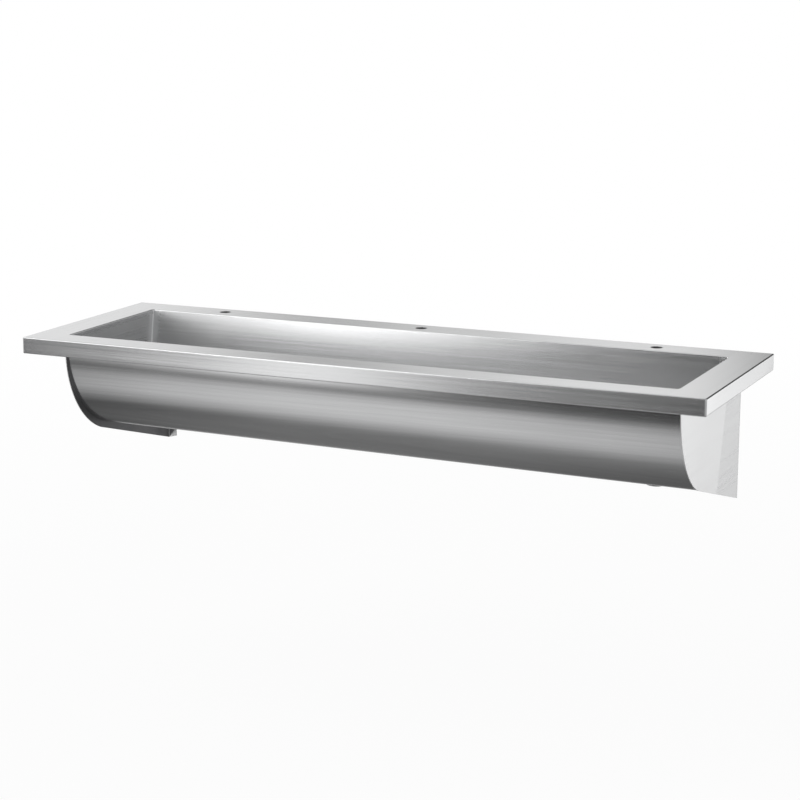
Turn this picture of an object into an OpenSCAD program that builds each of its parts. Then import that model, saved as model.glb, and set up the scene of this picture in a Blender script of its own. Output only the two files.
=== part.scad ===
// Wall-hung trough sink in stainless sheet: a ledge with turned-down edges and tap holes, a curved
// bowl whose floor falls to a waste at the right-hand end, and an end panel at each side that carries
// the trough on the wall.
// X runs along the trough, Y = 0 is the wall and the user stands on the -Y side, Z = 0 is the top of
// the ledge. The origin is the middle of the ledge's back edge. All sizes are in millimetres.

/* [Ledge] */
// Length of the trough along the wall
trough_w = 1800; // [1600:50:2600]
// Depth from the wall to the front edge
trough_d = 600; // [560:10:700]
// Height of the turned-down edge
rim_h = 42; // [36:1:60]
// Width of the return at the foot of the turned-down edge
rim_return = 15; // [8:1:20]
// Thickness of the ledge and bowl sheet
sheet_t = 1.5; // [1.2:0.1:2]
// Width of each side ledge
side_ledge = 90; // [80:1:120]
// Width of the front ledge
front_ledge = 82; // [60:1:110]
// Width of the back ledge, which takes the taps
back_ledge = 90; // [80:1:110]
// Depth of the lip folded down round the opening
lip_drop = 12; // [8:1:15]

/* [Bowl] */
// Depth from the ledge to the bowl's floor, half way along
bowl_depth = 281; // [265:1:290]
// Fall of the floor from the left end to the right end
floor_fall = 16; // [8:1:22]
// Outer radius of the curve from the front wall to the floor
front_curve_r = 246; // [225:1:250]
// Outer radius of the bend from the floor to the back wall
back_bend_r = 70; // [60:1:75]
// Lean of the back wall from the vertical, in degrees
back_lean = 8; // [5:0.5:9]
// Gap for the weld between an end wall and the skin
weld_gap = 0.2; // [0.1:0.1:0.4]

/* [End panels] */
// Thickness of an end panel
panel_t = 2; // [1.5:0.5:3]
// Distance from an end wall's inner face to the panel's outer face
panel_out = 10; // [8:0.5:15]
// How far the panel's front edge stands in front of the bowl
panel_proud = 6; // [3:0.5:8]
// Radius of the panel's curved front edge
panel_curve_r = 254; // [248:1:258]
// Depth of the centre of that curve below the ledge
panel_curve_z = 38; // [30:1:42]
// Distance from the panel's front edge to the corner where its curve ends
panel_corner = 164; // [150:1:175]
// Height of the panel at the wall
panel_h = 378; // [366:1:400]
// Width of the flange that lies against the wall
flange_w = 26; // [22:1:40]
// Diameter of a wall screw hole
screw_hole_d = 9; // [6:0.5:11]
// Depth of the upper wall screws below the ledge
screw_top_z = 90; // [70:1:110]
// Spacing of the wall screws, top to bottom
screw_pitch = 240; // [200:1:250]

/* [Tap ledge] */
// Diameter of a tap hole
tap_hole_d = 30; // [22:1:38]
// Distance from the middle of the trough to an outer tap hole
tap_pitch = 611; // [500:1:650]
// Distance of the middle tap hole to the left of the middle
tap_shift = 31; // [0:1:60]
// Length of a stiffening plate under a tap hole
tap_plate_l = 120; // [90:1:160]
// Thickness of a stiffening plate
tap_plate_t = 3; // [2:0.5:5]

/* [Ledge stiffeners] */
// Height of the angle inside the back edge
angle_h = 34; // [25:1:36]
// Width of the angle's leg under the ledge
angle_w = 15; // [10:1:16]
// Width of the channel inside the front edge
channel_w = 38; // [30:1:50]
// Height of that channel
channel_h = 28; // [20:1:34]
// Space between a stiffener's ends and the side edges
stiffener_end_gap = 5; // [2:1:15]

/* [Waste] */
// Distance of the waste to the right of the middle
waste_x = 678; // [560:1:700]
// Outer radius of the sump pressed into the floor
sump_r = 42; // [40:0.5:44]
// Depth of the sump
sump_depth = 6; // [5:0.5:8]
// Radius of the hole in the sump
waste_hole_r = 25; // [24.3:0.1:28]
// Radius of the waste's seals and flanges
waste_flange_r = 40; // [38:0.1:40]
// Thickness of the seal on top of the sheet
top_seal_t = 1.5; // [1:0.5:2]
// Thickness of the seal under the sheet
under_seal_t = 2.5; // [2:0.5:4]
// Thickness of the top flange
top_flange_t = 2.5; // [2.2:0.1:3]
// Radius of the thread on the outlet
outlet_r = 23.9; // [22.5:0.1:25]
// Bore radius of the outlet, round a waste pipe 20 mm in radius
outlet_bore_r = 20.2; // [18:0.1:21]
// Length of thread left bare below the nut
outlet_tail = 3.5; // [3:0.5:40]
// Clearance round the thread
thread_clearance = 0.3; // [0.1:0.1:0.5]
// Distance across the flats of the nut under the bowl
waste_nut_af = 60; // [54:1:64]
// Thickness of that nut
waste_nut_t = 5; // [4:0.5:10]

/* [Strainer] */
// Radius of the lift-out strainer
strainer_r = 32; // [30:0.1:34]
// Clearance round the strainer in its seat
strainer_clearance = 0.4; // [0.2:0.1:0.6]
// Thickness of the strainer
strainer_t = 1.5; // [1:0.1:1.5]
// Diameter of the strainer's holes
strainer_hole_d = 5; // [3:0.5:6]
// Height of the knob by which it is lifted
knob_h = 10; // [6:1:15]
// Radius of the knob
knob_r = 6; // [4:0.5:8]

/* [Earthing] */
// Distance of the earthing lug to the right of the middle
lug_x = 720; // [690:1:760]
// Length of the lug below the ledge
lug_h = 36; // [34:1:38]
// Radius of the earthing bolt
lug_bolt_r = 3; // [2:0.5:3]

/* [Damping] */
// Length of a damping pad under the floor
pad_l = 560; // [300:10:600]
// Thickness of a damping pad
pad_t = 3; // [2:0.5:4]
// Width of floor left bare beside a pad
pad_margin = 5; // [3:1:10]

/* [Hidden] */
$fn = 96;
steel = [0.78, 0.79, 0.80];
dark_steel = [0.62, 0.63, 0.65];
rubber = [0.12, 0.12, 0.13];
brass = [0.80, 0.66, 0.38];
cut = 5; // how far a cutting shape runs past what it cuts

// The opening, and the bowl's walls that hang from its lip
open_x = trough_w / 2 - side_ledge;
open_front = -trough_d + front_ledge;
open_back = -back_ledge;
wall_front = open_front - sheet_t;
wall_back = open_back + sheet_t;
panel_x = open_x + panel_out;
skin_x = panel_x - panel_t;
fall_angle = atan(floor_fall / (2 * skin_x));

// The bowl's section, in the plane of Y and Z half way along
floor_z = -bowl_depth;
front_c = [wall_front + front_curve_r, floor_z + front_curve_r];
back_straight = lip_drop + floor_fall / 2 + 1;
back_c_z = floor_z + back_bend_r;
back_run = (back_c_z + back_straight) * sin(back_lean) - back_bend_r;
back_c = [round(10 * (wall_back + back_run / cos(back_lean))) / 10, back_c_z];
section_top = 0;
seam = 0.001; // how far a flat starts inside the curve that it meets

// The waste's heights, measured square to the sloping floor
waste_y = (front_c[0] + back_c[0]) / 2;
sump_floor_z = floor_z - sump_depth + sheet_t;
top_flange_z = sump_floor_z + top_seal_t;
flange_top_z = top_flange_z + top_flange_t;
strainer_z = flange_top_z - strainer_t;
under_seal_z = floor_z - sump_depth - under_seal_t;
waste_nut_z = under_seal_z - waste_nut_t;
outlet_z = waste_nut_z - outlet_tail;
under_seal_r = waste_nut_af / 2;

// The end panels' outline
panel_front = wall_front - panel_proud;
panel_c = [panel_front + panel_curve_r, -panel_curve_z];
panel_corner_y = panel_front + panel_corner;
panel_corner_z = panel_c[1] - sqrt(pow(panel_curve_r, 2) - pow(panel_corner_y - panel_c[0], 2));
panel_rake = (panel_corner_z + panel_h) / -panel_corner_y;

// Taps and wall screws
tap_y = -back_ledge / 2;
tap_plate_gap = 0.5; // between a stiffening plate and the angle behind it
tap_plate_w = back_ledge - 2 * (sheet_t + angle_w + tap_plate_gap);
tap_x = [-tap_pitch, -tap_shift, tap_pitch];
screw_x = panel_x - panel_t - (flange_w - panel_t) / 2;
notch_y = rim_return + 3;
notch_z = rim_h + 2;

// Earthing lug, with its bolt along X
lug_t = 3;
lug_w = 25;
lug_y = -48;
lug_hole_z = -sheet_t - lug_h + 11;
washer_t = 1.6;
washer_r = 6;
bolt_head_h = 4;
bolt_head_af = 10;
bolt_l = 18;
nut_h = 5;
bolt_gap = 0.1;

strainer_rings = [9, 16];
knob_foot_r = 4;
knob_cap_h = 3;
pad_left_x = -370;
pad_right_x = 290;

// A box between two corners
module span(low, high) {
  translate(low) cube(high - low);
}

// An outline drawn in Y and Z, drawn out along X and centred
module along_x(length) {
  rotate([90, 0, 90]) linear_extrude(length, center = true) children();
}

// Shapes that follow the fall of the floor
module sloped() {
  rotate([0, fall_angle, 0]) children();
}

// Shapes on the waste's axis
module at_waste() {
  sloped() translate([waste_x, waste_y, 0]) children();
}

// A round plate or sleeve between two heights
module ring(outer, inner, low, high) {
  difference() {
    translate([0, 0, low]) cylinder(r = outer, h = high - low);
    translate([0, 0, low - cut]) cylinder(r = inner, h = high - low + 2 * cut);
  }
}

// The bowl's section up to a given height, drawn in by the inset
module bowl_section(inset, top) {
  bend = back_bend_r - inset;
  low = floor_z + inset;
  difference() {
    intersection() {
      translate([wall_front + inset, low]) square([wall_back - wall_front - 2 * inset, top - low]);
      union() {
        translate([wall_front, low]) square([back_c[0] - wall_front, top - low]);
        translate(back_c) circle(bend);
        translate(back_c) rotate(-back_lean) translate([-bend, 0])
          square([2 * bend - seam, bowl_depth]);
      }
    }
    difference() {
      translate([wall_front - cut, floor_z - cut]) square([front_curve_r + cut, front_curve_r + cut]);
      translate(front_c) circle(front_curve_r - inset);
    }
  }
}

// The ledge: sheet with its edges turned down and returned, and a lip round the opening
module ledge() {
  half = trough_w / 2;
  low_opening = [-open_x, open_front, -rim_h - cut];
  high_opening = [open_x, open_back, cut];
  difference() {
    union() {
      difference() {
        span([-half, -trough_d, -rim_h], [half, 0, 0]);
        span([-half + sheet_t, -trough_d + sheet_t, -rim_h + sheet_t], [half - sheet_t, -sheet_t, -sheet_t]);
        span([-half + rim_return, -trough_d + rim_return, -rim_h - cut],
             [half - rim_return, -rim_return, -sheet_t]);
      }
      span([-open_x - sheet_t, wall_front, -lip_drop], [open_x + sheet_t, wall_back, -sheet_t / 2]);
    }
    span(low_opening, high_opening);
    for (x = tap_x) translate([x, tap_y, -cut]) cylinder(d = tap_hole_d, h = 2 * cut);
  }
}

// A folded strip of the ledge that runs its whole length, corners included, between two depths
module long_strip(low, high) {
  color(steel) intersection() {
    ledge();
    span([-trough_w, low, -rim_h - cut], [trough_w, high, cut]);
  }
}

module ledge_front() {
  long_strip(-2 * trough_d, open_front);
}

module ledge_back() {
  long_strip(open_back, trough_d);
}

// The section of a side strip in X and Z: lip, ledge, turned-down edge and return
module side_section() {
  half = trough_w / 2;
  polygon([[open_x, 0], [half, 0], [half, -rim_h], [half - rim_return, -rim_h],
           [half - rim_return, sheet_t - rim_h], [half - sheet_t, sheet_t - rim_h],
           [half - sheet_t, -sheet_t], [open_x + sheet_t, -sheet_t],
           [open_x + sheet_t, -lip_drop], [open_x, -lip_drop]]);
}

// A folded strip between the two long ones
module side_strip(side) {
  color(steel) mirror([side < 0 ? 1 : 0, 0, 0]) translate([0, open_back, 0]) rotate([90, 0, 0])
    linear_extrude(open_back - open_front) side_section();
}

module ledge_left() {
  side_strip(-1);
}

module ledge_right() {
  side_strip(1);
}

// The bowl's skin: front wall, floor and back wall in one rolled sheet, with the sump pressed in
module bowl_skin() {
  color(steel) intersection() {
    span([-skin_x, -trough_d, floor_z - 2 * floor_fall - sump_depth], [skin_x, 0, -lip_drop]);
    difference() {
      union() {
        sloped() along_x(2 * skin_x + 4 * cut) difference() {
          bowl_section(0, section_top);
          bowl_section(sheet_t, section_top + cut);
        }
        at_waste() ring(sump_r, sump_r - sheet_t, floor_z - sump_depth, floor_z + sheet_t / 2);
        at_waste() ring(sump_r, waste_hole_r, floor_z - sump_depth, sump_floor_z);
      }
      at_waste() translate([0, 0, sump_floor_z]) cylinder(r = sump_r - sheet_t, h = sump_depth + cut);
    }
  }
}

// A flat wall that closes one end of the bowl
module bowl_end(side) {
  color(steel) intersection() {
    translate([side * (open_x + sheet_t / 2), 0, 0])
      span([-sheet_t / 2, -trough_d, -2 * bowl_depth], [sheet_t / 2, 0, -lip_drop]);
    sloped() along_x(trough_w) bowl_section(sheet_t + weld_gap, section_top);
  }
}

module bowl_end_left() {
  bowl_end(-1);
}

module bowl_end_right() {
  bowl_end(1);
}

// An end panel's outline in Y and Z: curved in front, raked below, and notched for the back edge
module panel_outline() {
  difference() {
    polygon([[panel_front, -sheet_t], [panel_front, -panel_h - panel_front * panel_rake], [0, -panel_h],
             [0, -notch_z], [-notch_y, -notch_z], [-notch_y, -sheet_t]]);
    difference() {
      translate([panel_front - cut, panel_c[1] - panel_curve_r - cut])
        square([panel_corner + cut, panel_curve_r + cut]);
      translate(panel_c) circle(panel_curve_r);
    }
  }
}

// An end panel with its flange folded in along the wall
module end_panel(side) {
  color(steel) mirror([side < 0 ? 1 : 0, 0, 0]) difference() {
    union() {
      translate([panel_x - panel_t / 2, 0, 0]) along_x(panel_t) panel_outline();
      span([panel_x - flange_w, -panel_t, -panel_h + panel_rake * panel_t],
           [panel_x - panel_t / 2, 0, -notch_z]);
    }
    for (z = [-screw_top_z, -screw_top_z - screw_pitch])
      translate([screw_x, cut, z]) rotate([90, 0, 0]) cylinder(d = screw_hole_d, h = panel_t + 2 * cut);
  }
}

module end_panel_left() {
  end_panel(-1);
}

module end_panel_right() {
  end_panel(1);
}

// A plate that stiffens the ledge round one tap hole
module tap_plate(x) {
  color(dark_steel) translate([x, tap_y, -sheet_t - tap_plate_t]) difference() {
    translate([-tap_plate_l / 2, -tap_plate_w / 2, 0]) cube([tap_plate_l, tap_plate_w, tap_plate_t]);
    translate([0, 0, -cut]) cylinder(d = tap_hole_d, h = tap_plate_t + 2 * cut);
  }
}

module tap_plate_left() {
  tap_plate(tap_x[0]);
}

module tap_plate_middle() {
  tap_plate(tap_x[1]);
}

module tap_plate_right() {
  tap_plate(tap_x[2]);
}

// The angle in the corner of the ledge and its back edge
module rear_angle() {
  half = trough_w / 2 - sheet_t - stiffener_end_gap;
  color(dark_steel) difference() {
    span([-half, -sheet_t - angle_w, -sheet_t - angle_h], [half, -sheet_t, -sheet_t]);
    span([-half - cut, -sheet_t - angle_w - cut, -sheet_t - angle_h - cut],
         [half + cut, -2 * sheet_t, -2 * sheet_t]);
  }
}

// The channel, open below, in the corner of the ledge and its front edge
module front_channel() {
  half = trough_w / 2 - sheet_t - stiffener_end_gap;
  front = -trough_d + sheet_t;
  color(dark_steel) difference() {
    span([-half, front, -sheet_t - channel_h], [half, front + channel_w, -sheet_t]);
    span([-half - cut, front + sheet_t, -sheet_t - channel_h - cut],
         [half + cut, front + channel_w - sheet_t, -2 * sheet_t]);
  }
}

// The waste: a flange in the sump, with a seat for the strainer and a threaded outlet below
module waste_flange() {
  seat_r = strainer_r + strainer_clearance;
  color(steel) at_waste() difference() {
    union() {
      ring(waste_flange_r, outlet_bore_r, top_flange_z, flange_top_z);
      ring(outlet_r, outlet_bore_r, outlet_z, top_flange_z + top_flange_t / 4);
    }
    translate([0, 0, strainer_z]) cylinder(r = seat_r, h = strainer_t + cut);
  }
}

module waste_top_seal() {
  color(rubber) at_waste() ring(waste_flange_r, waste_hole_r, sump_floor_z, top_flange_z);
}

module waste_under_seal() {
  color(rubber) at_waste() ring(under_seal_r, waste_hole_r, under_seal_z, floor_z - sump_depth);
}

// The nut under the bowl that clamps the waste
module waste_nut() {
  across_corners = waste_nut_af / cos(30);
  color(steel) at_waste() translate([0, 0, waste_nut_z]) difference() {
    cylinder(d = across_corners, h = waste_nut_t, $fn = 6);
    translate([0, 0, -cut]) cylinder(r = outlet_r + thread_clearance, h = waste_nut_t + 2 * cut);
  }
}

// A ring of holes through the strainer
module strainer_holes(ring_r, count) {
  for (i = [1:count])
    rotate(i * 360 / count) translate([ring_r, 0, -cut]) cylinder(d = strainer_hole_d, h = strainer_t + 2 * cut);
}

// The perforated plate that lifts out of the waste
module strainer_plate() {
  color(steel) at_waste() translate([0, 0, strainer_z]) difference() {
    cylinder(r = strainer_r, h = strainer_t);
    strainer_holes(strainer_rings[0], 6);
    strainer_holes(strainer_rings[1], 12);
  }
}

// The knob on the strainer
module strainer_knob() {
  color(steel) at_waste() translate([0, 0, flange_top_z]) {
    cylinder(r = knob_foot_r, h = knob_h);
    translate([0, 0, knob_h - knob_cap_h]) cylinder(r = knob_r, h = knob_cap_h);
  }
}

// The earthing lug that hangs from the ledge
module earth_lug() {
  color(dark_steel) difference() {
    span([lug_x, lug_y - lug_w / 2, -sheet_t - lug_h], [lug_x + lug_t, lug_y + lug_w / 2, -sheet_t]);
    translate([lug_x - cut, lug_y, lug_hole_z]) rotate([0, 90, 0])
      cylinder(r = lug_bolt_r + bolt_gap, h = lug_t + 2 * cut);
  }
}

// Shapes on the earthing bolt's axis, which runs along X from the lug's left face
module at_lug_bolt() {
  translate([lug_x, lug_y, lug_hole_z]) rotate([0, 90, 0]) children();
}

module earth_bolt() {
  across_corners = bolt_head_af / cos(30);
  color(brass) at_lug_bolt() {
    translate([0, 0, -washer_t - bolt_head_h]) cylinder(d = across_corners, h = bolt_head_h, $fn = 6);
    translate([0, 0, -washer_t - bolt_head_h / 2]) cylinder(r = lug_bolt_r, h = bolt_l + bolt_head_h / 2);
  }
}

module earth_nut() {
  across_corners = bolt_head_af / cos(30);
  color(brass) at_lug_bolt() translate([0, 0, lug_t + washer_t]) difference() {
    cylinder(d = across_corners, h = nut_h, $fn = 6);
    translate([0, 0, -cut]) cylinder(r = lug_bolt_r + bolt_gap, h = nut_h + 2 * cut);
  }
}

module earth_washers() {
  color(brass) at_lug_bolt() {
    ring(washer_r, lug_bolt_r + bolt_gap, -washer_t, 0);
    ring(washer_r, lug_bolt_r + bolt_gap, lug_t, lug_t + washer_t);
  }
}

// A pad under the flat of the floor that deadens the sound of the water
module damping_pad(x) {
  low = front_c[0] + pad_margin;
  high = back_c[0] - pad_margin;
  color(rubber) sloped() span([x - pad_l / 2, low, floor_z - pad_t], [x + pad_l / 2, high, floor_z]);
}

module damping_pad_left() {
  damping_pad(pad_left_x);
}

module damping_pad_right() {
  damping_pad(pad_right_x);
}

ledge_front();
ledge_back();
ledge_left();
ledge_right();
bowl_skin();
bowl_end_left();
bowl_end_right();
end_panel_left();
end_panel_right();
tap_plate_left();
tap_plate_middle();
tap_plate_right();
rear_angle();
front_channel();
waste_flange();
waste_top_seal();
waste_under_seal();
waste_nut();
strainer_plate();
strainer_knob();
earth_lug();
earth_bolt();
earth_nut();
earth_washers();
damping_pad_left();
damping_pad_right();
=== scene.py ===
# %% [markdown]
# # A wall-hung trough sink
#
# A wash trough of stainless sheet: a ledge with turned-down edges, a long bowl rolled from one
# sheet, and an end panel at each side that carries it on the wall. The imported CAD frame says
# where each part is. All of them are modelled again here, because bends with a real radius,
# ground welds and a brushed finish are what make folded steel look like folded steel.

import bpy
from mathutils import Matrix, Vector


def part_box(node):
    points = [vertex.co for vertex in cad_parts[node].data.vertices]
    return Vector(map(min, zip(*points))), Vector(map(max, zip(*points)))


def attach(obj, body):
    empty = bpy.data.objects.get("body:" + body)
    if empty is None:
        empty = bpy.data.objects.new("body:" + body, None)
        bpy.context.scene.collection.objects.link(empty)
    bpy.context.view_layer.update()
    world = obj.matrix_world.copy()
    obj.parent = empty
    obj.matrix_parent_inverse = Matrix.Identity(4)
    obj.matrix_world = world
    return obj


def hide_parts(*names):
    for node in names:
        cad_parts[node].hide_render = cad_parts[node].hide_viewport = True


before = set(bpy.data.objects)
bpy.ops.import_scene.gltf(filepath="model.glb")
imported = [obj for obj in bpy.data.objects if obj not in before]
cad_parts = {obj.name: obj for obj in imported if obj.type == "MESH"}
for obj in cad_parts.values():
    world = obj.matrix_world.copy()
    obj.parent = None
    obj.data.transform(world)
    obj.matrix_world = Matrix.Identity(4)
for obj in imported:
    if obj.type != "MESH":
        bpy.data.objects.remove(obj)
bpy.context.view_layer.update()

# %% Blender's modules
from math import atan, cos, degrees, pi, radians, sin, tan

import bmesh
import bpy
from mathutils import Matrix, Vector

# %% [markdown]
# ## Camera
#
# The viewer stands to the right of the trough and a little above it. A long lens from far away
# keeps the ledge's edges almost parallel. The place, the turns and the lens come from fitting the
# corners of the ledge and the outlines of the panels to where they lie in the picture.

# %% Camera
CAMERA_PLACE = (2.2261, -5.3304, 1.0282)
CAMERA_TURN = radians(23.6699)
CAMERA_DOWN = radians(11.9955)
CAMERA_ROLL = radians(0.2828)
LENS_MM = 100.254
SENSOR_MM = 36

bpy.ops.object.camera_add()
camera = bpy.context.object
camera.data.lens = LENS_MM
camera.data.sensor_width = SENSOR_MM
camera.matrix_world = (
    Matrix.Translation(CAMERA_PLACE)
    @ Matrix.Rotation(CAMERA_TURN, 4, "Z")
    @ Matrix.Rotation(pi / 2 - CAMERA_DOWN, 4, "X")
    @ Matrix.Rotation(CAMERA_ROLL, 4, "Z")
)
bpy.context.scene.camera = camera
bpy.context.scene.view_settings.view_transform = "Standard"
print("camera", [round(v, 3) for v in camera.location])

# %% [markdown]
# ## Sizes of the sheet parts
#
# The pieces modelled here take their places from the CAD nodes' boxes, so they can't drift away
# from the frame. Only what a box can't tell, such as a bend's radius, is written as a number.
# Everything is in metres: Z = 0 is the top of the ledge and Y = 0 is the wall. A name that ends in
# _C is the centre of a bend, as Y and Z, and one that ends in _R is a radius.

# %% Sizes
SHEET = 0.0015
ledge_low, ledge_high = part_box("ledge_front")
HALF = ledge_high[0]
DEPTH = -ledge_low[1]
RIM = -ledge_low[2]
OPEN_FRONT = ledge_high[1]
OPEN_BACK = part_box("ledge_back")[0][1]
OPEN_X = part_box("ledge_right")[0][0]
RETURN = 0.015
LIP = 0.012
WALL_FRONT = OPEN_FRONT - SHEET
WALL_BACK = OPEN_BACK + SHEET
FRONT_STRAIGHT = 0.035
FRONT_R = 0.246
FRONT_C = (WALL_FRONT + FRONT_R, -FRONT_STRAIGHT)
FLOOR_Z = FRONT_C[1] - FRONT_R
BACK_BEND = 0.1859
BACK_R = 0.070
BACK_LEAN = radians(8)
LIP_LEAN = LIP * tan(BACK_LEAN)
BACK_C = (-BACK_BEND - LIP_LEAN, FLOOR_Z + BACK_R)
SKIN_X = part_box("bowl_skin")[1][0]
FLOOR_DROP = 0.016
FALL = atan(FLOOR_DROP / (2 * SKIN_X))
print("ledge", HALF, DEPTH, RIM, "opening", OPEN_X, OPEN_FRONT, OPEN_BACK, "fall", degrees(FALL))

# %% [markdown]
# ## Hand tools
#
# Modelling goes as it does by hand: pick a few edges or faces, then press one key. Without a
# window there is no mouse to pick with, so `choose` picks by place, and the operators then act on
# what is picked, exactly as they would in edit mode.

# %% Picking and editing
TINY = 1e-4
HAIR = TINY / 10
pieces = {}


def only(piece):
    """Makes this the one selected and active object."""
    bpy.ops.object.select_all(action="DESELECT")
    piece.select_set(True)
    bpy.context.view_layer.objects.active = piece


def open_mesh(piece):
    only(piece)
    bpy.ops.object.mode_set(mode="EDIT")


def close_mesh():
    bpy.ops.object.mode_set(mode="OBJECT")


def middle(part):
    if isinstance(part, bmesh.types.BMVert):
        return part.co
    return sum((v.co for v in part.verts), Vector()) / len(part.verts)


def choose(kind, test):
    """Picks the VERT, EDGE or FACE parts for which test(middle, part) holds."""
    bpy.ops.mesh.select_mode(type=kind)
    bpy.ops.mesh.select_all(action="DESELECT")
    sheet = bmesh.from_edit_mesh(bpy.context.object.data)
    sheet.normal_update()
    parts = {"VERT": sheet.verts, "EDGE": sheet.edges, "FACE": sheet.faces}[kind]
    picked = [part for part in parts if test(middle(part), part)]
    for part in picked:
        part.select_set(True)
    sheet.select_flush_mode()
    bmesh.update_edit_mesh(bpy.context.object.data)
    return len(picked)


def near(a, b):
    return abs(a - b) < TINY


# %% Extruding, cutting and bevelling
def pull(*way):
    """Extrudes what is picked by a distance along X, Y and Z."""
    bpy.ops.mesh.extrude_region_move(TRANSFORM_OT_translate={"value": way})


def slice_off(place, outward, fill=False, both=False):
    """Cuts the whole mesh with a plane, and drops what lies outward of it unless both sides stay."""
    bpy.ops.mesh.select_all(action="SELECT")
    bpy.ops.mesh.bisect(
        plane_co=place, plane_no=outward, use_fill=fill, clear_outer=not both, clear_inner=False
    )


def round_off(radius, segments):
    """Bevels the picked edges."""
    bpy.ops.mesh.bevel(offset=radius, offset_type="OFFSET", segments=segments, affect="EDGES")


def bend_line(part):
    """True for an edge where two faces meet at a clear angle."""
    return len(part.link_faces) == 2 and part.calc_face_angle(0) > radians(50)


def close_up():
    """Merges doubled points of the open mesh and turns its faces the same way, outward if it is closed."""
    bpy.ops.mesh.select_all(action="SELECT")
    bpy.ops.mesh.remove_doubles(threshold=HAIR)
    bpy.ops.mesh.normals_make_consistent(inside=False)


# %% Adding and finishing pieces
def add_plate(name, size, place, turn=(0, 0, 0)):
    """A flat rectangle, one face, with its place in its mesh."""
    bpy.ops.object.select_all(action="DESELECT")
    bpy.ops.mesh.primitive_plane_add(size=1, location=place, rotation=turn)
    piece = bpy.context.object
    piece.name = piece.data.name = name
    piece.scale = (size[0], size[1], 1)
    bpy.ops.object.transform_apply(location=True, rotation=True, scale=True)
    return piece


def modify(piece, kind, **settings):
    """Adds a modifier and applies it at once."""
    only(piece)
    modifier = piece.modifiers.new(kind.lower(), kind)
    for key, value in settings.items():
        setattr(modifier, key, value)
    bpy.ops.object.modifier_apply(modifier=modifier.name)


def thicken(piece, thickness):
    modify(piece, "SOLIDIFY", thickness=thickness, offset=-1, use_even_offset=True)


def work(piece, tool, operation):
    """Cuts, joins or trims a closed piece with a closed tool, and throws the tool away."""
    modify(piece, "BOOLEAN", operation=operation, solver="EXACT", object=tool)
    bpy.data.objects.remove(tool)


def bore(piece, place, radius, depth, turn=(0, 0, 0), sides=64):
    """Drills a round hole through a piece."""
    bpy.ops.object.select_all(action="DESELECT")
    bpy.ops.mesh.primitive_cylinder_add(
        vertices=sides, radius=radius, depth=depth, location=place, rotation=turn
    )
    work(piece, bpy.context.object, "DIFFERENCE")


def smooth(piece, angle):
    """Rounds the shading over bends, and keeps it flat over flat sheet."""
    only(piece)
    bpy.ops.object.shade_smooth_by_angle(angle=radians(angle))
    modify(piece, "WEIGHTED_NORMAL", keep_sharp=True, weight=100)


def face_out(piece, point, outward):
    """Turns all faces so that the one nearest to point looks outward."""
    open_mesh(piece)
    close_up()
    close_mesh()
    faces = piece.data.polygons
    closest = min(faces, key=lambda f: (f.center - Vector(point)).length)
    if closest.normal.dot(Vector(outward)) < 0:
        open_mesh(piece)
        bpy.ops.mesh.select_all(action="SELECT")
        bpy.ops.mesh.flip_normals()
        close_mesh()


def keep(piece):
    """Lists a finished piece and prints its size."""
    pieces[piece.name] = piece
    corners = [piece.matrix_world @ v.co for v in piece.data.vertices]
    low = [round(min(c[i] for c in corners), 4) for i in range(3)]
    high = [round(max(c[i] for c in corners), 4) for i in range(3)]
    print(piece.name, len(piece.data.polygons), "faces", low, high)


def done(piece, angle=40):
    """Smooths a finished piece over its bends, then lists it."""
    smooth(piece, angle)
    keep(piece)


# %% [markdown]
# ## The ledge
#
# The real ledge is sheet folded down all round on a press brake, with its mitred corners and the
# joints of its strips welded and ground away, so that it looks like one sheet. A bend in 1.5 mm
# sheet has an outer radius of about 3 mm, and that narrow round is what catches the light as a
# bright or dark line along each edge. One sheet is drawn flat, its edges are pulled down and in,
# and only then are the bends rounded and the thickness given, so that every bend is even.

# %% Ledge: flat sheet with its opening
ledge = add_plate("ledge", (2 * HALF, DEPTH), (0, -DEPTH / 2, 0))
open_mesh(ledge)
for x in (OPEN_X, -OPEN_X):
    slice_off((x, 0, 0), (1, 0, 0), both=True)
for y in (OPEN_FRONT, OPEN_BACK):
    slice_off((0, y, 0), (0, 1, 0), both=True)
choose("FACE", lambda m, f: abs(m.x) < OPEN_X and OPEN_FRONT < m.y < OPEN_BACK)
bpy.ops.mesh.delete(type="FACE")


# %% Ledge: edges turned down and returned, lip round the opening
def at_rim(m):
    return near(abs(m.x), HALF) or near(m.y, 0) or near(m.y, -DEPTH)


choose("EDGE", lambda m, e: e.is_boundary and at_rim(m))
pull(0, 0, -RIM)
pull(0, 0, 0)
bpy.ops.transform.resize(
    value=(1 - RETURN / HALF, 1 - 2 * RETURN / DEPTH, 1), center_override=(0, -DEPTH / 2, -RIM)
)
choose("EDGE", lambda m, e: e.is_boundary and near(m.z, 0) and not at_rim(m))
pull(0, 0, -LIP)
choose("VERT", lambda m, v: near(m.z, -LIP) and near(m.y, OPEN_BACK))
bpy.ops.transform.translate(value=(0, -LIP_LEAN, 0))


# %% Ledge: bends
CORNER_R = 0.0045
WELD_R = 0.005
CORNER_STEPS = 5
BEND_R = 0.003
BEND_STEPS = 4


def upright(e):
    return abs(e.verts[0].co.z - e.verts[1].co.z) > LIP / 2


for corner_x, radius in ((HALF, CORNER_R), (OPEN_X, WELD_R)):
    choose("EDGE", lambda m, e: upright(e) and near(abs(m.x), corner_x))
    round_off(radius, CORNER_STEPS)
for z in (0, -RIM):
    choose("EDGE", lambda m, e: near(m.z, z) and bend_line(e))
    round_off(BEND_R, BEND_STEPS)
close_mesh()
face_out(ledge, (0, -DEPTH / 8, 0), (0, 0, 1))
thicken(ledge, SHEET)

# %% Ledge: tap holes, punched and deburred
TAP_X = (-0.611, -0.031, 0.611)
TAP_R = 0.015
BURR = 0.0004

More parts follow.
